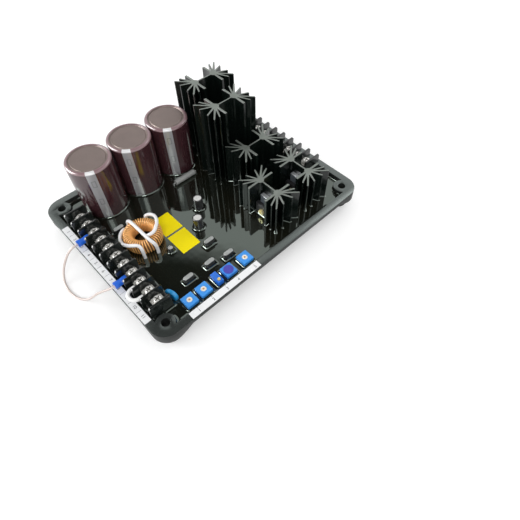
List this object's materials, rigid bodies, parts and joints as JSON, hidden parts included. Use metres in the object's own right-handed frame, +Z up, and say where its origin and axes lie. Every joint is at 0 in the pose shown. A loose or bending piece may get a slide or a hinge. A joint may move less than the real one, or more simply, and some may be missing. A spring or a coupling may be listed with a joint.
{
  "type": "automatic voltage regulator",
  "caption": "Open plastic tray cast full of resin, with capacitors, finned heat sinks, barrier terminal strips, a wound choke and trimmers, to hold a generator's voltage steady.",
  "frame": {"origin": "under the centre of the tray's rim, level with the underside of its feet", "axes": "+X along the tray's long side towards the heat sinks, +Y from the trimmers to the capacitors, +Z up"},
  "size_m": [0.2317, 0.165, 0.081],
  "materials": {
    "tray_plastic": "satin black moulding",
    "board_laminate": "satin",
    "casting_resin": "glossy black casting",
    "can_metal": "satin",
    "sleeve_film": "glossy shrunk film",
    "strip_plastic": "glossy black moulding",
    "plated_metal": "bright plated",
    "black_aluminium": "black anodised",
    "device_moulding": "satin black",
    "tab_metal": "tinned",
    "brass": "turned",
    "trimmer_blue": "satin blue",
    "rotor_cream": "satin cream",
    "deep_blue": "satin deep blue",
    "violet_lacquer": "glossy lacquer",
    "core_coating": "satin",
    "enamelled_copper": "enamelled copper",
    "tie_cord": "waxed cord",
    "black_epoxy": "glossy dip",
    "can_black": "sleeved can",
    "grey_coating": "satin cement",
    "disc_blue": "glossy dip",
    "yellow_film": "plain film",
    "label_film": "plain film",
    "white_insulation": "satin white",
    "lug_blue": "glossy blue"
  },
  "bodies": {
    "regulator": {"tray": "tray_plastic", "circuit_board": "board_laminate", "potting": "casting_resin", "capacitor_can_1": "can_metal", "capacitor_can_2": "can_metal", "capacitor_can_3": "can_metal", "capacitor_sleeve_1": "sleeve_film", "capacitor_sleeve_2": "sleeve_film", "capacitor_sleeve_3": "sleeve_film", "left_terminal_base": "strip_plastic", "left_terminal_plates": "plated_metal", "left_terminal_screws": "plated_metal", "right_terminal_base": "strip_plastic", "right_terminal_plates": "plated_metal", "right_terminal_screws": "plated_metal", "heat_sink_short_left": "black_aluminium", "heat_sink_short_right": "black_aluminium", "heat_sink_middle": "black_aluminium", "heat_sink_tall_front": "black_aluminium", "heat_sink_tall_back": "black_aluminium", "device_body_1": "device_moulding", "device_body_2": "device_moulding", "device_body_3": "device_moulding", "device_body_4": "device_moulding", "device_body_5": "device_moulding", "device_tabs": "tab_metal", "device_screws": "brass", "trimmer_housing_1": "trimmer_blue", "trimmer_housing_2": "trimmer_blue", "multiturn_housing": "deep_blue", "sealed_trimmer": "deep_blue", "sealing_lacquer": "violet_lacquer", "trimmer_housing_5": "trimmer_blue", "choke_core": "core_coating", "choke_winding": "enamelled_copper", "choke_tie": "tie_cord", "film_capacitor_1": "black_epoxy", "film_capacitor_2": "black_epoxy", "film_capacitor_3": "black_epoxy", "film_capacitor_4": "black_epoxy", "film_capacitor_5": "black_epoxy", "small_capacitor_1": "can_black", "small_capacitor_2": "can_black", "small_capacitor_3": "can_black", "axial_resistor": "grey_coating", "disc_varistor": "disc_blue", "yellow_sticker_1": "yellow_film", "yellow_sticker_2": "yellow_film", "label_strip_left": "label_film", "label_strip_front": "label_film", "link_insulation": "white_insulation", "link_tongues": "plated_metal", "jumper_wire": "white_insulation", "jumper_sleeves": "lug_blue", "jumper_forks": "plated_metal"},
    "trimmer_rotor_1": {"trimmer_rotor_1": "rotor_cream"},
    "trimmer_rotor_2": {"trimmer_rotor_2": "rotor_cream"},
    "trimmer_rotor_5": {"trimmer_rotor_5": "rotor_cream"},
    "multiturn_adjuster": {"multiturn_adjuster": "brass"}
  },
  "joints": [
    {"name": "trimmer_1_turn", "type": "hinge", "parent": "regulator", "child": "trimmer_rotor_1", "pos_m": [-0.07, -0.06845, 0.0185], "axis": [0, 0, 1], "range_deg": [-130, 130]},
    {"name": "trimmer_2_turn", "type": "hinge", "parent": "regulator", "child": "trimmer_rotor_2", "pos_m": [-0.0573, -0.06845, 0.0185], "axis": [0, 0, 1], "range_deg": [-130, 130]},
    {"name": "trimmer_5_turn", "type": "hinge", "parent": "regulator", "child": "trimmer_rotor_5", "pos_m": [-0.0175, -0.06845, 0.0185], "axis": [0, 0, 1], "range_deg": [-130, 130]},
    {"name": "multiturn_turn", "type": "hinge", "parent": "regulator", "child": "multiturn_adjuster", "pos_m": [-0.0446, -0.0708, 0.02], "axis": [0, 0, 1], "continuous": true}
  ]
}
